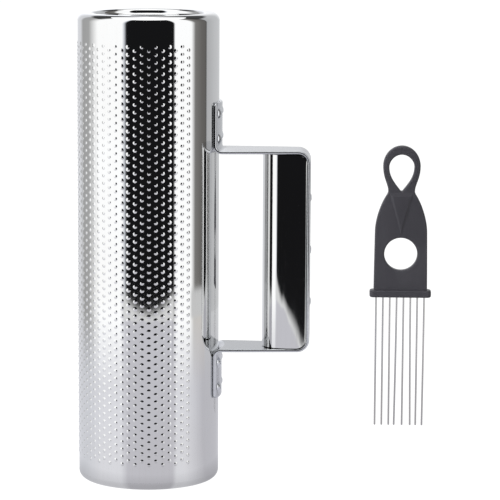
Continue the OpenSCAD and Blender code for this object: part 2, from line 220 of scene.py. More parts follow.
def arc(centre, radius, start, end, steps):
    turns = [math.radians(start + (end - start) * i / steps) for i in range(steps + 1)]
    return [(centre[0] + radius * math.cos(t), centre[1] + radius * math.sin(t)) for t in turns]


def drawProfile(bm, points, closed=True):
    verts = [bm.verts.new((x, 0.0, z)) for x, z in points]
    for a, b in zip(verts, verts[1:]):
        bm.edges.new((a, b))
    if closed:
        bm.edges.new((verts[-1], verts[0]))
    return verts


def spinProfile(bm, points, steps, closed=True):
    drawProfile(bm, points, closed)
    bmesh.ops.spin(bm, geom=bm.verts[:] + bm.edges[:], cent=(0, 0, 0), axis=(0, 0, 1),
                   angle=2 * math.pi, steps=steps, use_merge=True)
    bmesh.ops.remove_doubles(bm, verts=bm.verts, dist=0.001 * mm)


def keepPiece(bm, name, body, nodes, material, sharpAngle=50):
    bmesh.ops.recalc_face_normals(bm, faces=bm.faces)
    for face in bm.faces:
        face.smooth = True
    for edge in bm.edges:
        if edge.is_manifold and edge.calc_face_angle() > math.radians(sharpAngle):
            edge.smooth = False
    mesh = bpy.data.meshes.new(name)
    bm.to_mesh(mesh)
    bm.free()
    mesh.materials.append(material)
    piece = bpy.data.objects.new(name, mesh)
    scene.collection.objects.link(piece)
    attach(piece, body)
    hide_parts(*nodes)
    return piece


# Shell: a spun sheet whose outer face is pressed out into round bumps

shellSet = {"wall": 0.8 * mm, "pitch": 4.76 * mm, "columnGap": 4.35 * mm, "rise": 0.41 * mm,
            "baseR": 1.55 * mm, "margin": 17 * mm, "drop": 1 * mm, "plainAngle": 105, "cutsPlain": 2,
            "inset": 0.4 * mm, "ringInset": 0.3 * mm, "ring": 0.55, "sides": 12}


def makeShell():
    s = shellSet
    columns = round(2 * math.pi * tubeR / s["columnGap"])
    step = 2 * math.pi / columns
    firstBump = math.ceil(math.radians(s["plainAngle"]) / 2 / step - 0.5)
    across = columns - 2 * firstBump
    level = s["pitch"] / 2
    topLevel = math.floor((tubeH - 2 * s["margin"]) / level)  # bump levels run from 0 to topLevel
    base = tubeMid - s["drop"] - topLevel / 2 * level
    low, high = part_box("shell")[0].z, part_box("shell")[1].z
    heights = [low] + [base + (k - 1) * level for k in range(topLevel + 3)] + [high]
    profile = [(tubeR, z) for z in heights] + [(tubeR - s["wall"], high), (tubeR - s["wall"], low)]
    bm = bmesh.new()
    verts = drawProfile(bm, profile)
    bmesh.ops.rotate(bm, verts=verts, cent=(0, 0, 0), matrix=Matrix.Rotation(firstBump * step, 3, "Z"))
    edges = bm.edges[:]
    for span, cuts in ((across, 1), (columns - across, s["cutsPlain"])):
        made = bmesh.ops.spin(bm, geom=verts + edges, cent=(0, 0, 0), axis=(0, 0, 1),
                              angle=span * step, steps=span * cuts)
        verts = [g for g in made["geom_last"] if isinstance(g, bmesh.types.BMVert)]
        edges = [g for g in made["geom_last"] if isinstance(g, bmesh.types.BMEdge)]
    bmesh.ops.remove_doubles(bm, verts=bm.verts, dist=0.01 * mm)

    def spot(co):  # column and level of a place on the outer face
        return (math.atan2(co.y, co.x) % (2 * math.pi)) / step - 0.5, (co.z - base) / level

    def inField(i, k):
        return firstBump <= i < firstBump + across and 0 <= k <= topLevel

    def outside(co):
        return co.xy.length > tubeR - s["wall"] / 2

    seams = []
    for edge in bm.edges:
        one, other = edge.verts[0].co, edge.verts[1].co
        middle = (one + other) / 2
        i, k = [round(c) for c in spot(middle)]
        if abs(one.z - other.z) < level / 4 and outside(middle) and inField(i, k) and (i + k) % 2:
            seams.append(edge)
    bmesh.ops.dissolve_edges(bm, edges=seams)  # two cells become the six-cornered cell of one bump
    cells = {f: [round(c) for c in spot(f.calc_center_median())] for f in bm.faces if len(f.verts) == 6}

    def settle(face, radius):  # puts a cell's corners on a round line of its bump
        i, k = cells[face]
        part = 2 * math.pi / s["sides"]
        out = tubeR + s["rise"] * (1 + math.cos(math.pi * radius / s["baseR"])) / 2
        for vert in face.verts:
            column, place = spot(vert.co)
            turn = round(math.atan2((place - k) * level, (column - i) * step * tubeR) / part) * part
            angle = (i + 0.5) * step + radius * math.cos(turn) / tubeR
            height = base + k * level + radius * math.sin(turn)
            vert.co = (out * math.cos(angle), out * math.sin(angle), height)

    bmesh.ops.inset_individual(bm, faces=list(cells), thickness=s["inset"])
    for edge in [e for e in bm.edges if any(f in cells for f in e.link_faces)]:
        bmesh.utils.edge_split(edge, edge.verts[0], 0.5)
    for face in cells:
        settle(face, s["baseR"])
    bmesh.ops.inset_individual(bm, faces=list(cells), thickness=s["ringInset"])
    for face in cells:
        settle(face, s["baseR"] * s["ring"])
    for vert in bmesh.ops.poke(bm, faces=list(cells))["verts"]:
        vert.co.xy *= (tubeR + s["rise"]) / vert.co.xy.length
    piece = keepPiece(bm, "bumped_shell", "canister", ["shell"], shellSteel, 70)
    normals = []  # each dome shades as its round formula, and the sheet between the domes as the tube
    for vert in piece.data.vertices:
        normal = Vector((vert.co.x, vert.co.y, 0)).normalized()
        column, place = spot(vert.co)
        i = round(column)
        k = 2 * round((place - (i + 1) % 2) / 2) + (i + 1) % 2
        offset = Vector(((column - i) * step * tubeR, (place - k) * level))
        if not outside(vert.co):
            normal.negate()
        elif inField(i, k) and 0 < offset.length < s["baseR"]:
            slope = s["rise"] * math.pi / (2 * s["baseR"]) * math.sin(math.pi * offset.length / s["baseR"])
            lean = offset.normalized() * slope
            normal += Vector((-normal.y * lean.x, normal.x * lean.x, lean.y))
        normals.append(normal.normalized())
    piece.data.normals_split_custom_set_from_vertices(normals)
    return piece


makeShell()
print("shell made")


# End caps: a rounded rim, a flat land and a sunk panel, with the spigot inside the shell

capSet = {"wall": 0.8 * mm, "rimR": 5 * mm, "land": 2.5 * mm, "sink": 3.5 * mm, "bend": 1.9 * mm,
          "fillet": 1.6 * mm, "spigotGap": 0.15 * mm, "steps": 200, "rimSteps": 14, "bendSteps": 8,
          "innerSteps": 6, "innerRimSteps": 10, "innerRimEnd": -20}


def makeCap(name, node, flip):
    s = capSet
    w = s["wall"]
    top = capHigh.z - capLow.z
    landR = tubeR - s["rimR"] - s["land"]
    wallR = landR - s["bend"]
    spigotR = tubeR - shellSet["wall"] - s["spigotGap"]
    rimC = (tubeR - s["rimR"], s["rimR"])
    bendC = (landR, s["bend"])
    filletC = (wallR - s["fillet"], s["sink"] - s["fillet"])
    outside = arc(rimC, s["rimR"], 0, -90, s["rimSteps"])
    outside += arc(bendC, s["bend"], 270, 180, s["bendSteps"])
    outside += arc(filletC, s["fillet"], 0, 90, s["innerSteps"])
    inside = [(0, s["sink"] + w)]
    inside += arc(filletC, s["fillet"] + w, 90, 0, s["innerSteps"])
    inside += arc(bendC, s["bend"] - w, 180, 270, s["innerSteps"])
    inside += arc(rimC, s["rimR"] - w, -90, s["innerRimEnd"], s["innerRimSteps"])
    inside += [(spigotR - w, s["rimR"] - w), (spigotR - w, top), (spigotR, top), (spigotR, s["rimR"])]
    bm = bmesh.new()
    spinProfile(bm, outside + [(0, s["sink"])] + inside, s["steps"])
    if flip:
        bmesh.ops.scale(bm, verts=bm.verts, vec=(1, 1, -1))
        bmesh.ops.translate(bm, verts=bm.verts, vec=(0, 0, tubeH))
    return keepPiece(bm, name, "canister", [node], capSteel, 40)


makeCap("lower_end_cap", "bottom_cap", False)
makeCap("upper_end_cap", "top_cap", True)
print("end caps made")


# Handle strap: a flat strip bent along its path, its tabs wrapped to the tube

strapLow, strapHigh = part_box("handle_strap")
strapSet = {"thick": 2 * mm, "gap": 0.1 * mm, "tabLength": 30.5 * mm, "tabCorner": 3.5 * mm,
            "tabBend": 3 * mm, "corner": 8 * mm, "runW": 28 * mm, "lap": 3.9 * mm, "wrapFade": 12 * mm,
            "edge": 1 * mm, "across": 28, "straightSteps": 8, "bendSteps": 10, "cornerSteps": 12,
            "runSteps": 6}
strapW = strapHigh.y - strapLow.y
strapReach = strapHigh.x
strapMid = (strapLow.z + strapHigh.z) / 2


def strapPath():  # upper half of the strip's middle line, from the tab's end to the middle of the outer run
    s = strapSet
    half = s["thick"] / 2
    tabR = tubeR + s["gap"] + half
    tabEnd = strapHigh.z - strapMid
    armOut = tabEnd - s["tabLength"]
    bendC = (tabR + half + s["tabBend"], armOut + s["tabBend"])
    cornerC = (strapReach - s["corner"], armOut - s["corner"])
    n = s["straightSteps"]
    tabFrom = tabEnd - s["tabCorner"]
    rounding = [(tabR, tabEnd - s["tabCorner"] * (1 - math.cos(math.pi / 2 * i / n))) for i in range(n + 1)]
    tab = [(tabR, tabFrom - (tabFrom - bendC[1]) * i / n) for i in range(1, n)]
    bend = arc(bendC, s["tabBend"] + half, 180, 270, s["bendSteps"])
    arm = [(bendC[0] + (cornerC[0] - bendC[0]) * i / n, armOut - half) for i in range(1, n)]
    corner = arc(cornerC, s["corner"] - half, 90, 0, s["cornerSteps"])
    run = [(strapReach - half, cornerC[1] * (1 - i / s["runSteps"])) for i in range(1, s["runSteps"])]
    return rounding + tab + bend + arm + corner + run + [(strapReach - half, 0.0)], bendC[0]


def makeStrap():
    s = strapSet
    upper, armStart = strapPath()
    path = upper + [(x, -z) for x, z in reversed(upper[:-1])]
    last = len(path) - 1
    tabEnd, corner, edge = upper[0][1], s["tabCorner"], s["edge"]
    taperFrom, taperTo = armStart + s["lap"], strapReach - s["corner"]
    bm = bmesh.new()
    bmesh.ops.create_grid(bm, x_segments=last, y_segments=s["across"], size=1.0)
    lifted = bmesh.ops.extrude_face_region(bm, geom=bm.faces[:])["geom"]
    outer = {g for g in lifted if isinstance(g, bmesh.types.BMVert)}
    for vert in bm.verts:
        i = round((vert.co.x + 1) / 2 * last)
        x, z = path[i]
        before, after = path[max(i - 1, 0)], path[min(i + 1, last)]
        along = Vector((after[0] - before[0], after[1] - before[1])).normalized()
        slim = min(max((x - taperFrom) / (taperTo - taperFrom), 0.0), 1.0)
        half = strapW / 2 + slim * (s["runW"] - strapW) / 2
        fromEnd = tabEnd - abs(z)
        short = max(0.0, corner - fromEnd)  # how far into the rounded tab corner
        wide = half - corner + math.sqrt(max(corner ** 2 - short ** 2, 0.0))
        y = math.sin(vert.co.y * math.pi / 2) * wide
        fromSide = half - abs(y)
        inside = corner - math.hypot(short, max(0.0, corner - fromSide)) if short > 0 else fromSide
        inside = max(min(inside, fromSide), 0.0)
        thin = math.sqrt(max(1 - max(0.0, 1 - inside / edge) ** 2, 0.0))  # the rim is rounded
        side = s["thick"] / 2 * thin * (1 if vert in outer else -1)
        x, z = x - along.y * side, z + along.x * side
        wrap = min(max(1 - (x - armStart) / s["wrapFade"], 0.0), 1.0)
        wrap = wrap if abs(z) > tabEnd - s["tabLength"] - s["tabBend"] else 0.0
        vert.co = (x - wrap * (x - math.sqrt(x * x - y * y)), y, z + strapMid)
    bmesh.ops.remove_doubles(bm, verts=bm.verts, dist=0.002 * mm)
    bmesh.ops.dissolve_degenerate(bm, edges=bm.edges, dist=0.001 * mm)
    return keepPiece(bm, "bent_strap", "canister", ["handle_strap"], strapSteel, 60)


makeStrap()
print("strap made")


# Grip: a hollow sleeve, round on the fingers' side, whose ends follow the strap's corners

gripLow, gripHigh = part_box("grip_sleeve")
gripSet = {"wall": 1 * mm, "back": 1.2 * mm, "corner": 6.5 * mm, "crown": 0.25 * mm, "waist": 1.05 * mm,
           "rows": 40, "noseSteps": 32, "sideSteps": 8, "backSteps": 7}


def makeGrip():
    s = gripSet
    half = (gripHigh.y - gripLow.y) / 2
    noseX, backX = gripLow.x + half, gripHigh.x - s["back"]
    n = s["sideSteps"]
    outline = arc((noseX, 0), half, 90, 270, s["noseSteps"])
    outline += [(noseX + (backX - noseX) * i / n, -half) for i in range(1, n)]
    outline += arc((backX, s["back"] - half), s["back"], 270, 360, s["backSteps"])
    outline += arc((backX, half - s["back"]), s["back"], 0, 90, s["backSteps"])
    outline += [(backX + (noseX - backX) * i / n, half) for i in range(1, n)]
    bm = bmesh.new()
    ring = [bm.verts.new((x, y, gripLow.z)) for x, y in outline]
    for a, b in zip(ring, ring[1:] + ring[:1]):
        bm.edges.new((a, b))
    rowH = (gripHigh.z - gripLow.z) / s["rows"]
    edges = bm.edges[:]
    for _ in range(s["rows"]):
        made = bmesh.ops.extrude_edge_only(bm, edges=edges)["geom"]
        edges = [g for g in made if isinstance(g, bmesh.types.BMEdge)]
        verts = [g for g in made if isinstance(g, bmesh.types.BMVert)]
        bmesh.ops.translate(bm, verts=verts, vec=(0, 0, rowH))
    cornerX = gripHigh.x - s["corner"]
    middle = (noseX + backX) / 2
    reach = (gripHigh.z - gripLow.z) / 2
    for vert in bm.verts:
        over = max(vert.co.x - cornerX, 0.0)
        cut = s["corner"] - math.sqrt(max(s["corner"] ** 2 - over ** 2, 0.0))
        vert.co.z = strapMid + (vert.co.z - strapMid) * (reach - cut) / reach
        if noseX <= vert.co.x <= backX:  # the long sides swell a little
            swell = 1 - ((vert.co.x - middle) / (backX - middle)) ** 2
            vert.co.y += math.copysign(s["crown"] * (swell - 1), vert.co.y)
        else:
            vert.co.y -= math.copysign(s["crown"], vert.co.y) * abs(vert.co.y) / half
        drawn = min(max((vert.co.x - noseX) / (backX - noseX), 0.0), 1.0)  # the strap's side has a waist
        vert.co.y *= 1 - s["waist"] / half * drawn * (1 - ((vert.co.z - strapMid) / reach) ** 2)
    bmesh.ops.recalc_face_normals(bm, faces=bm.faces)
    bmesh.ops.solidify(bm, geom=bm.faces[:], thickness=s["wall"])
    return keepPiece(bm, "grip_tube", "canister", ["grip_sleeve"], gripSteel, 50)


makeGrip()
print("grip made")


# Rivets: a domed head, a shank and a set end round the bore of the stem

rivetSet = {
    "tab": {"shankR": 2 * mm, "headR": 3.5 * mm, "headH": 1.5 * mm, "length": 3.2 * mm},
    "grip": {"shankR": 1.6 * mm, "headR": 2.8 * mm, "headH": 0.8 * mm, "length": 3.1 * mm},
    "tail": 2 * mm, "spread": 1 * mm, "boreR": 0.95 * mm, "flare": 1.15, "lip": 0.15 * mm,
    "steps": 40, "domeSteps": 8,
    "angle": 14, "step": 33.5 * mm, "rise": 16 * mm,
}


def addRivet(bm, kind, matrix):
    s, r = rivetSet, rivetSet[kind]
    domeR = (r["headR"] ** 2 + r["headH"] ** 2) / (2 * r["headH"])
    rimTurn = math.degrees(math.asin(r["headR"] / domeR))
    boreTurn = math.degrees(math.asin(s["boreR"] * s["flare"] / domeR))
    tailR, end = r["shankR"] + s["spread"], -r["length"]
    dome = arc((0, r["headH"] - domeR), domeR, 90 - boreTurn, 90 - rimTurn, s["domeSteps"])
    foot = [(r["headR"] - s["lip"], 0), (r["shankR"], 0), (r["shankR"], end), (tailR, end),
            (tailR, end - s["tail"]), (s["boreR"], end - s["tail"])]
    one = bmesh.new()
    spinProfile(one, [(s["boreR"], dome[0][1] - s["lip"])] + dome + foot, s["steps"])
    bmesh.ops.recalc_face_normals(one, faces=one.faces)
    bmesh.ops.transform(one, matrix=matrix, verts=one.verts)
    part = bpy.data.meshes.new("one_rivet")
    one.to_mesh(part)
    one.free()
    bm.from_mesh(part)
    bpy.data.meshes.remove(part)


def outwards(x, z, angle):  # a rivet's seat: its head points away from the tube's axis
    turn = Matrix.Rotation(math.radians(angle), 4, "Z")
    return turn @ Matrix.Translation((x, 0, z)) @ Matrix.Rotation(math.pi / 2, 4, "Y")


def makeTabRivets(name, node):
    low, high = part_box(node)
    seat = tubeR + strapSet["gap"] + strapSet["thick"]
    middle = (low.z + high.z) / 2
    bm = bmesh.new()
    for z in (middle - rivetSet["rise"] / 2, middle + rivetSet["rise"] / 2):
        for angle in (-rivetSet["angle"], rivetSet["angle"]):
            addRivet(bm, "tab", outwards(seat, z, angle))
    return keepPiece(bm, name, "canister", [node], rivetSteel, 40)


def makeGripRivets():
    bm = bmesh.new()
    for i in (-1, 0, 1):
        addRivet(bm, "grip", outwards(strapReach, strapMid + i * rivetSet["step"], 0))
    return keepPiece(bm, "grip_rivet_heads", "canister", ["grip_rivets"], rivetSteel, 40)


makeTabRivets("upper_tab_rivets", "upper_rivets")
makeTabRivets("lower_tab_rivets", "lower_rivets")
makeGripRivets()
for node, steel in (("tab_rivet_stems", rivetSteel), ("grip_rivet_stems", rivetSteel), ("shot", shotSteel)):
    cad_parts[node].data.materials.clear()
    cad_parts[node].data.materials.append(steel)
print("rivets made")


# Scraper: a moulded plate with a loop, a window, a wedge down from the neck and a collar

plateLow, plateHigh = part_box("scraper_handle")
scraperX, scraperY = (plateLow.x + plateHigh.x) / 2, (plateLow.y + plateHigh.y) / 2
plateTop, plateFoot = plateHigh.z, plateLow.z
plateSet = {  # halves are widths from the middle, drops are measured down from the loop's top
    "thick": 7 * mm, "edge": 1.3 * mm, "edgeSteps": 5, "curveSteps": 16,
    "loopHalf": 13.0 * mm, "loopDrop": 14.2 * mm, "loopFall": 9 * mm,
    "neckHalf": 9.3 * mm, "neckDrop": 32 * mm, "neckIn": 5.5 * mm, "neckOut": (0.1 * mm, -1.6 * mm),
    "flareHalf": 11.5 * mm, "flareDrop": 36.6 * mm, "flareIn": (-1.0 * mm, 1.8 * mm),
    "flareOut": (3.4 * mm, -6.1 * mm), "shoulderHalf": 18.2 * mm, "shoulderDrop": 60 * mm,
    "shoulderIn": (-0.2 * mm, 8 * mm), "shoulderOut": (0.1 * mm, -5 * mm),
    "footHalf": 18.7 * mm, "footIn": 10 * mm,
    "holeTop": 6.1 * mm, "holeHalf": 8.7 * mm, "holeDrop": 14.8 * mm, "holeIn": 4.35 * mm,
    "holeFall": 7.5 * mm,
    "holeTip": 31.3 * mm, "tipHalf": 0.9 * mm, "tipIn": (3.4 * mm, 4.6 * mm),
    "tipOut": (-0.3 * mm, -0.5 * mm),
    "windowDrop": 76 * mm, "windowR": 11.5 * mm,
    "collarW": 43 * mm, "collarT": 11 * mm, "collarH": 5.0 * mm, "collarEdge": 1.2 * mm,
    "collarCorner": 0.3, "cornerSteps": 6, "rimSteps": 4, "rimAngle": 60, "flat": 0.9995,
    "wedgeHalf": 9.0 * mm, "wedgeRise": 0.8 * mm, "wedgeTop": 0.68, "wedgeSunk": 0.3 * mm,
    "quarter": 0.5523,  # a quarter circle's handle over its radius
}


def addSpline(curve, points):  # each point: place, arriving handle and leaving handle, as offsets
    spline = curve.splines.new("BEZIER")
    spline.bezier_points.add(len(points) - 1)
    for point, (x, z, back, ahead) in zip(spline.bezier_points, points):
        point.handle_left_type = point.handle_right_type = "FREE"
        point.co = (x, z, 0)
        point.handle_left = (x + back[0], z + back[1], 0)
        point.handle_right = (x + ahead[0], z + ahead[1], 0)
    spline.use_cyclic_u = True
    spline.resolution_u = plateSet["curveSteps"]


def mirrored(half):  # closes a half outline, drawn from the top down its right side, with its left side
    other = [(-x, z, (-a[0], a[1]), (-b[0], b[1])) for x, z, b, a in reversed(half) if x > 0]
    return half + other


def plateCurve():
    s = plateSet
    curve = bpy.data.curves.new("plate_outline", "CURVE")
    curve.dimensions = "2D"
    curve.fill_mode = "BOTH"
    curve.extrude = s["thick"] / 2 - s["edge"]
    curve.bevel_depth = s["edge"]
    curve.bevel_resolution = s["edgeSteps"]
    curve.offset = -s["edge"]
    k, r = s["quarter"], s["windowR"]
    foot = plateFoot + s["collarH"] / 2
    addSpline(curve, mirrored([
        (0, plateTop, (-k * s["loopHalf"], 0), (k * s["loopHalf"], 0)),
        (s["loopHalf"], plateTop - s["loopDrop"], (0, k * s["loopDrop"]), (0, -s["loopFall"])),
        (s["neckHalf"], plateTop - s["neckDrop"], (0, s["neckIn"]), s["neckOut"]),
        (s["flareHalf"], plateTop - s["flareDrop"], s["flareIn"], s["flareOut"]),
        (s["shoulderHalf"], plateTop - s["shoulderDrop"], s["shoulderIn"], s["shoulderOut"]),
        (s["footHalf"], foot, (0, s["footIn"]), (0, 0)),
    ]))
    addSpline(curve, mirrored([
        (0, plateTop - s["holeTop"], (-k * s["holeHalf"], 0), (k * s["holeHalf"], 0)),
        (s["holeHalf"], plateTop - s["holeDrop"], (0, s["holeIn"]), (0, -s["holeFall"])),
        (s["tipHalf"], plateTop - s["holeTip"], s["tipIn"], s["tipOut"]),
    ]))
    window = plateTop - s["windowDrop"]
    addSpline(curve, mirrored([
        (0, window + r, (-k * r, 0), (k * r, 0)),
        (r, window, (0, k * r), (0, -k * r)),
        (0, window - r, (k * r, 0), (-k * r, 0)),
    ]))
    return curve


def makePlate():
    holder = bpy.data.objects.new("plate_outline", plateCurve())
    scene.collection.objects.link(holder)
    bpy.context.view_layer.update()
    mesh = bpy.data.meshes.new_from_object(holder.evaluated_get(bpy.context.evaluated_depsgraph_get()))
    bpy.data.objects.remove(holder)
    mesh.transform(Matrix.Translation((scraperX, scraperY, 0)) @ Matrix.Rotation(math.pi / 2, 4, "X"))
    bm = bmesh.new()
    bm.from_mesh(mesh)
    bpy.data.meshes.remove(mesh)
    bmesh.ops.remove_doubles(bm, verts=bm.verts, dist=0.005 * mm)
    addCollar(bm)
    for facing in (-1, 1):
        addWedge(bm, facing)
    piece = keepPiece(bm, "scraper_plate", "scraper", ["scraper_handle"], plastic, 19)
    for face in piece.data.polygons:  # the broad flats shade flat
        face.use_smooth = abs(face.normal.y) < plateSet["flat"]
    return piece


def addCollar(bm):
    s = plateSet
    made = bmesh.ops.create_cube(bm, size=1.0)["verts"]
    bmesh.ops.scale(bm, verts=made, vec=(s["collarW"], s["collarT"], s["collarH"]))
    bmesh.ops.translate(bm, verts=made, vec=(scraperX, scraperY, plateFoot + s["collarH"] / 2))
    uprights = [e for e in bm.edges
                if e.verts[0] in made and abs(e.verts[0].co.z - e.verts[1].co.z) > s["collarH"] / 2]
    ends = bmesh.ops.bevel(bm, geom=uprights, offset=s["collarT"] * s["collarCorner"],
                           segments=s["cornerSteps"], profile=0.5, affect="EDGES", material=-1)
    solid = set(ends["faces"])
    while True:  # grows from the new faces to the whole collar
        more = {f for g in solid for e in g.edges for f in e.link_faces} - solid
        if not more:
            break
        solid |= more
    rimAngle = math.radians(s["rimAngle"])
    rims = [e for e in bm.edges if e.link_faces[0] in solid and e.calc_face_angle() > rimAngle]
    bmesh.ops.bevel(bm, geom=rims, offset=s["collarEdge"], segments=s["rimSteps"], profile=0.5,
                    affect="EDGES", material=-1)


def addWedge(bm, facing):
    s = plateSet
    top = plateTop - s["neckDrop"]
    tall = (top - (plateTop - s["windowDrop"] + s["windowR"])) / 1.5  # such a triangle is 1.5 radii tall
    made = bmesh.ops.create_circle(bm, cap_ends=True, segments=3, radius=1.0)["verts"]
    for vert in made:  # the first corner points down to the window
        x, z = vert.co.x / math.sin(math.pi / 3) * s["wedgeHalf"], top - tall / 2 - vert.co.y * tall
        vert.co = (scraperX + x, scraperY + facing * (s["thick"] / 2 - s["wedgeSunk"]), z)
    raised = bmesh.ops.extrude_face_region(bm, geom=made[0].link_faces[:])["geom"]
    raised = [g for g in raised if isinstance(g, bmesh.types.BMVert)]
    bmesh.ops.translate(bm, verts=raised, vec=(0, facing * (s["wedgeRise"] + s["wedgeSunk"]), 0))
    middle = Matrix.Translation((-scraperX, 0, tall / 2 - top))
    bmesh.ops.scale(bm, verts=raised, vec=(s["wedgeTop"], 1, s["wedgeTop"]), space=middle)


makePlate()
print("scraper plate made")


# Tines: round wire with a rounded tip, a few of them bent a little in use

tineSet = {"lean": [0.0, 0.0, 0.1, -0.9, -0.1, 0.8, -0.1, -0.5], "bow": 1.5, "rows": 14, "tipSteps": 6,
           "steps": 20}


def makeTine(index):
    s = tineSet
    node = f"tine_{index}"
    low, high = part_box(node)
    r = (high.x - low.x) / 2
    profile = arc((0, low.z + r), r, -90, 0, s["tipSteps"])
    profile += [(r, low.z + r + (high.z - low.z - r) * i / s["rows"]) for i in range(1, s["rows"] + 1)]
    bm = bmesh.new()
    spinProfile(bm, profile + [(0, high.z)], s["steps"], closed=False)
    lean = s["lean"][index - 1] * mm
    bmesh.ops.translate(bm, verts=bm.verts, vec=((low.x + high.x) / 2, (low.y + high.y) / 2, 0))
    for vert in bm.verts:
        free = max(1 - vert.co.z / plateFoot, 0.0)
        vert.co.x += lean * free ** s["bow"]
    return keepPiece(bm, f"wire_{node}", "scraper", [node], wireSteel, 50)


for index in range(1, 9):
    makeTine(index)
print("tines made")


# Camera: it stands to the right of the tube's front and looks a little down

cameraSet = {"turn": 4.0, "distance": 1.68, "height": 0.402, "pitch": 8.605, "yaw": 1.123, "roll": 0.145,
             "lens": 190.7, "sensor": 36, "shift": 0.1, "far": 50}


def makeCamera():
    s = cameraSet
    data = bpy.data.cameras.new("camera")
    data.lens = s["lens"]
    data.sensor_width = s["sensor"]
    data.shift_x = s["shift"]
    data.clip_end = s["far"]
    camera = bpy.data.objects.new("camera", data)
    turn = math.radians(s["turn"])
    camera.location = (s["distance"] * math.sin(turn), -s["distance"] * math.cos(turn), s["height"])
    heading = Matrix.Rotation(math.radians(s["turn"] - s["yaw"]), 3, "Z")
    tilt = Matrix.Rotation(math.radians(90 - s["pitch"]), 3, "X")
    camera.rotation_euler = (heading @ tilt @ Matrix.Rotation(math.radians(s["roll"]), 3, "Z")).to_euler()
    scene.collection.objects.link(camera)
    scene.camera = camera


# Studio: a white floor, a ring of cards that only the steel reflects, and soft lamps

studioSet = {
    "floorHalf": 12.0, "paper": 0.82, "white": 1.16, "share": 0.9, "ceiling": 1.5, "fill": 0.12,
    "ringR": 0.655, "ringH": 1.3, "ringSteps": 128, "top": 1.75,
    # angle from the camera's side, to the right, and the level and tint there
    "cards": [(-180, 0.85, (0.98, 0.99, 1.03)), (-139, 0.85, (0.98, 0.99, 1.03)), (-130, 0.46, (1, 1, 1)),
              (-110, 0.5, (1, 1, 1)), (-88, 1.36, (1, 1, 1)), (-42, 1.36, (1, 1, 1)),
              (-39, 0.9, (0.95, 0.98, 1.05)), (-35, 0.010, (1, 1, 1.1)), (40, 0.010, (1, 1, 1.1)),
              (42, 1.36, (1, 1, 1)), (71, 1.36, (1, 1, 1)), (79, 0.25, (1.03, 1, 0.96)),
              (93, 0.17, (1.05, 1, 0.95)), (103, 0.15, (1.05, 1, 0.95)), (104.5, 0.05, (1, 1, 1)),
              (106, 0.56, (0.99, 1, 1.02)), (130, 0.66, (0.99, 1, 1.02)), (180, 0.7, (0.99, 1, 1.02))],
    "floors": [(-180, 0.83, (0.97, 0.98, 1.04)), (-115, 0.83, (0.97, 0.98, 1.04)),
               (-80, 0.98, (0.98, 0.98, 1.03)), (-47, 0.98, (0.98, 0.98, 1.03)),
               (-35, 0.73, (0.98, 0.97, 1.04)), (40, 0.73, (0.98, 0.97, 1.04)),
               (47, 0.97, (0.98, 0.98, 1.03)), (62, 0.97, (0.98, 0.98, 1.03)),
               (98, 0.67, (0.98, 0.97, 1.04)), (180, 0.67, (0.98, 0.98, 1.04))],
    # contact is the level of a painted contact shadow on the floor's reflected glow next to the tube
    "apex": 0.025, "contactShadow": 0.72, "blendFrom": 0.36,  # the floor's sectors meet a little before the tube
    "backFrom": 150, "backTo": 172, "backLow": 0.27, "backHigh": 0.32, "backLift": 0.5,
    "rearDepth": 0.15, "flagLow": 0.7, "flagHigh": 0.8, "flag": 0.12,  # a dark band high at the back
    "lidWhite": 1.6, "lidFrom": 0.42, "lidTo": 0.5,
    "frontFrom": 38, "frontTo": 46, "frontGlow": 0.9, "footLow": 0.002, "footHigh": 0.012, "footArch": 0.034,
    "gapFrom": 68, "gapTo": 112, "gapSoft": 6, "gapH": 0.025, "gapFade": 0.003, "gap": 0.75,
}


def litBy(kit, *rays):  # 1 where one of these kinds of ray looks, else 0
    total = 0.0
    for ray in rays:
        path = kit.node("ShaderNodeLightPath", out=ray)
        total = kit.node("ShaderNodeMath", {"operation": "MAXIMUM"}, {0: total, 1: path})
    return total


def axes(kit):
    spot = kit.node("ShaderNodeTexCoord", out="Object")
    return [kit.node("ShaderNodeSeparateXYZ", None, {0: spot}, out=axis) for axis in "XYZ"]


def sideAngle(kit, x, y):  # from the camera's side, to the right
    return kit.node("ShaderNodeMath", {"operation": "ARCTAN2"}, {0: x, 1: y * -1.0})


def bySide(kit, stops, turn):  # a colour by the angle round the tube
    marks = [((angle + 180) / 360, grey(level / studioSet["top"], tint)) for angle, level, tint in stops]
    return kit.node("ShaderNodeValToRGB", {"stops": marks}, {"Fac": turn / (2 * math.pi) + 0.5})


def inFront(kit, turn):  # 1 in the dark front, 0 beside it
    away = kit.node("ShaderNodeMath", {"operation": "ABSOLUTE"}, {0: turn})
    return kit.span(away, math.radians(studioSet["frontFrom"]), math.radians(studioSet["frontTo"]), 1.0, 0.0)


def addStage(name, mesh, kit):
    mesh.materials.append(kit.holder)
    piece = bpy.data.objects.new(name, mesh)
    piece.rotation_euler = (0, 0, math.radians(cameraSet["turn"]))
    scene.collection.objects.link(piece)
    return piece


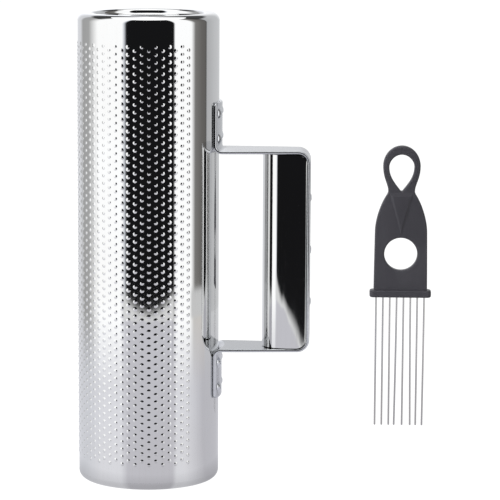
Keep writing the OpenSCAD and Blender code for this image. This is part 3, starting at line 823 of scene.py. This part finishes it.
def makeFloor():
    s = studioSet
    kit = newKit("floor_paper")
    paper = kit.node("ShaderNodeBsdfDiffuse", None, {"Color": grey(s["paper"])})
    white = kit.node("ShaderNodeEmission", None, {"Color": grey(1.0), "Strength": s["white"]})
    x, y, _ = axes(kit)
    turn = sideAngle(kit, x, y + s["apex"])
    reach = (x * x + y * y) ** 0.5
    share = kit.span(reach, s["blendFrom"], s["ringR"], 0.0, 1.0) * (1.0 - inFront(kit, turn))
    rims = [(angle, max(level, s["gap"]) if angle > s["gapFrom"] else level, tint)
            for angle, level, tint in s["cards"]]
    colour = kit.blend(share, bySide(kit, s["floors"], turn), bySide(kit, rims, turn))
    # painted contact shadow: the floor's glow that the steel reflects is darkened next to the tube's foot
    contactShadowMask = kit.span(reach, tubeR, 2 * tubeR, s["contactShadow"], 1.0)
    shaded = kit.blend(contactShadowMask, grey(0.0), colour)
    mirror = kit.node("ShaderNodeEmission", None, {"Color": shaded, "Strength": s["top"]})
    seen = litBy(kit, "Is Camera Ray") * s["share"]
    direct = kit.node("ShaderNodeMixShader", None, {0: seen, 1: paper, 2: white})
    glossy = litBy(kit, "Is Glossy Ray", "Is Transmission Ray")
    mixed = kit.node("ShaderNodeMixShader", None, {0: glossy, 1: direct, 2: mirror})
    kit.node("ShaderNodeOutputMaterial", None, {"Surface": mixed})
    bm = bmesh.new()
    bmesh.ops.create_grid(bm, x_segments=1, y_segments=1, size=s["floorHalf"])
    mesh = bpy.data.meshes.new("floor")
    bm.to_mesh(mesh)
    bm.free()
    addStage("floor", mesh, kit)


def makeCards():
    s = studioSet
    kit = newKit("card_ring")
    x, y, z = axes(kit)
    turn = sideAngle(kit, x, y)
    away = kit.node("ShaderNodeMath", {"operation": "ABSOLUTE"}, {0: turn})
    behind = kit.span(away, math.radians(s["backFrom"]), math.radians(s["backTo"]), 0.0, s["backLift"])
    lift = behind * kit.span(z, s["backLow"], s["backHigh"], 0.0, 1.0) + 1.0
    rear = kit.span(y, 0.0, s["rearDepth"], 0.0, 1.0)
    flag = 1.0 - rear * kit.span(z, s["flagLow"], s["flagHigh"], 0.0, 1.0 - s["flag"])
    lid = kit.span(z, s["ringH"] - 2 * mm, s["ringH"] - mm, 0.0, 1.0)
    overhead = lid * kit.span(y, s["lidFrom"], s["lidTo"], 1.0, 0.0)
    gapFrom, gapTo, soft = [math.radians(s[key]) for key in ("gapFrom", "gapTo", "gapSoft")]
    gap = kit.span(turn, gapFrom, gapFrom + soft, 0.0, 1.0) * kit.span(turn, gapTo - soft, gapTo, 1.0, 0.0)
    gap = gap * kit.span(z, s["gapH"] - s["gapFade"], s["gapH"] + s["gapFade"], 1.0, 0.0)
    colour = kit.blend(gap, bySide(kit, s["cards"], turn), grey(s["gap"] / s["top"]))
    over = z - turn * turn * s["footArch"]  # the dark card ends softly over the floor, lowest in its middle
    foot = inFront(kit, turn) * kit.span(over, s["footLow"], s["footHigh"], 1.0, 0.0)
    colour = kit.blend(foot, colour, grey(s["frontGlow"] / s["top"]))
    colour = kit.blend(overhead, colour, grey(s["lidWhite"] / s["top"]))
    level = flag + overhead * (1.0 - flag)
    brightest = 1.0 + s["backLift"]
    shaded = kit.blend(lift * level / brightest, grey(0.0), colour)
    glow = kit.node("ShaderNodeEmission", None, {"Color": shaded, "Strength": s["top"] * brightest})
    kit.node("ShaderNodeOutputMaterial", None, {"Surface": glow})
    bm = bmesh.new()
    drawProfile(bm, [(s["ringR"], 0), (s["ringR"], s["ringH"]), (0, s["ringH"])], closed=False)
    bmesh.ops.spin(bm, geom=bm.verts[:] + bm.edges[:], cent=(0, 0, 0), axis=(0, 0, 1),
                   angle=2 * math.pi, steps=s["ringSteps"], use_merge=True)
    mesh = bpy.data.meshes.new("card_ring")
    bm.to_mesh(mesh)
    bm.free()
    ring = addStage("card_ring", mesh, kit)
    for kind in ("camera", "diffuse", "shadow", "transmission", "volume_scatter"):
        setattr(ring, "visible_" + kind, False)


def makeWorld():
    s = studioSet
    world = bpy.data.worlds.new("studio")
    scene.world = world
    kit = Kit(world)
    fill = kit.node("ShaderNodeBackground", None, {"Color": grey(1.0), "Strength": s["fill"]})
    ceiling = kit.node("ShaderNodeBackground", None, {"Color": grey(1.0), "Strength": s["ceiling"]})
    white = kit.node("ShaderNodeBackground", None, {"Color": grey(1.0), "Strength": 1.0})
    glossy = litBy(kit, "Is Glossy Ray", "Is Transmission Ray")
    steel = kit.node("ShaderNodeMixShader", None, {0: glossy, 1: fill, 2: ceiling})
    seen = kit.node("ShaderNodeMixShader", None, {0: litBy(kit, "Is Camera Ray"), 1: steel, 2: white})
    kit.node("ShaderNodeOutputWorld", None, {"Surface": seen})


lampSet = {
    "overhead": {"place": (0.1, -0.1, 1.6), "aim": (0.08, 0.05, 0.1), "size": 1.4, "power": 5.0},
    "left": {"place": (-1.2, -0.6, 0.9), "aim": (0.12, 0.1, 0.15), "size": 0.7, "power": 36.0},
    "front": {"place": (0.5, -1.6, 1.1), "aim": (0.15, 0.1, 0.12), "size": 0.8, "power": 13.0},
}


def makeLamps():
    for name, s in lampSet.items():
        data = bpy.data.lights.new(name, "AREA")
        data.shape = "DISK"
        data.size = s["size"]
        data.energy = s["power"]
        lamp = bpy.data.objects.new(name, data)
        lamp.location = s["place"]
        lamp.rotation_euler = (Vector(s["aim"]) - Vector(s["place"])).to_track_quat("-Z", "Y").to_euler()
        lamp.visible_camera = False
        lamp.visible_glossy = False
        scene.collection.objects.link(lamp)


makeCamera()
makeFloor()
makeCards()
makeWorld()
makeLamps()
print("studio made")
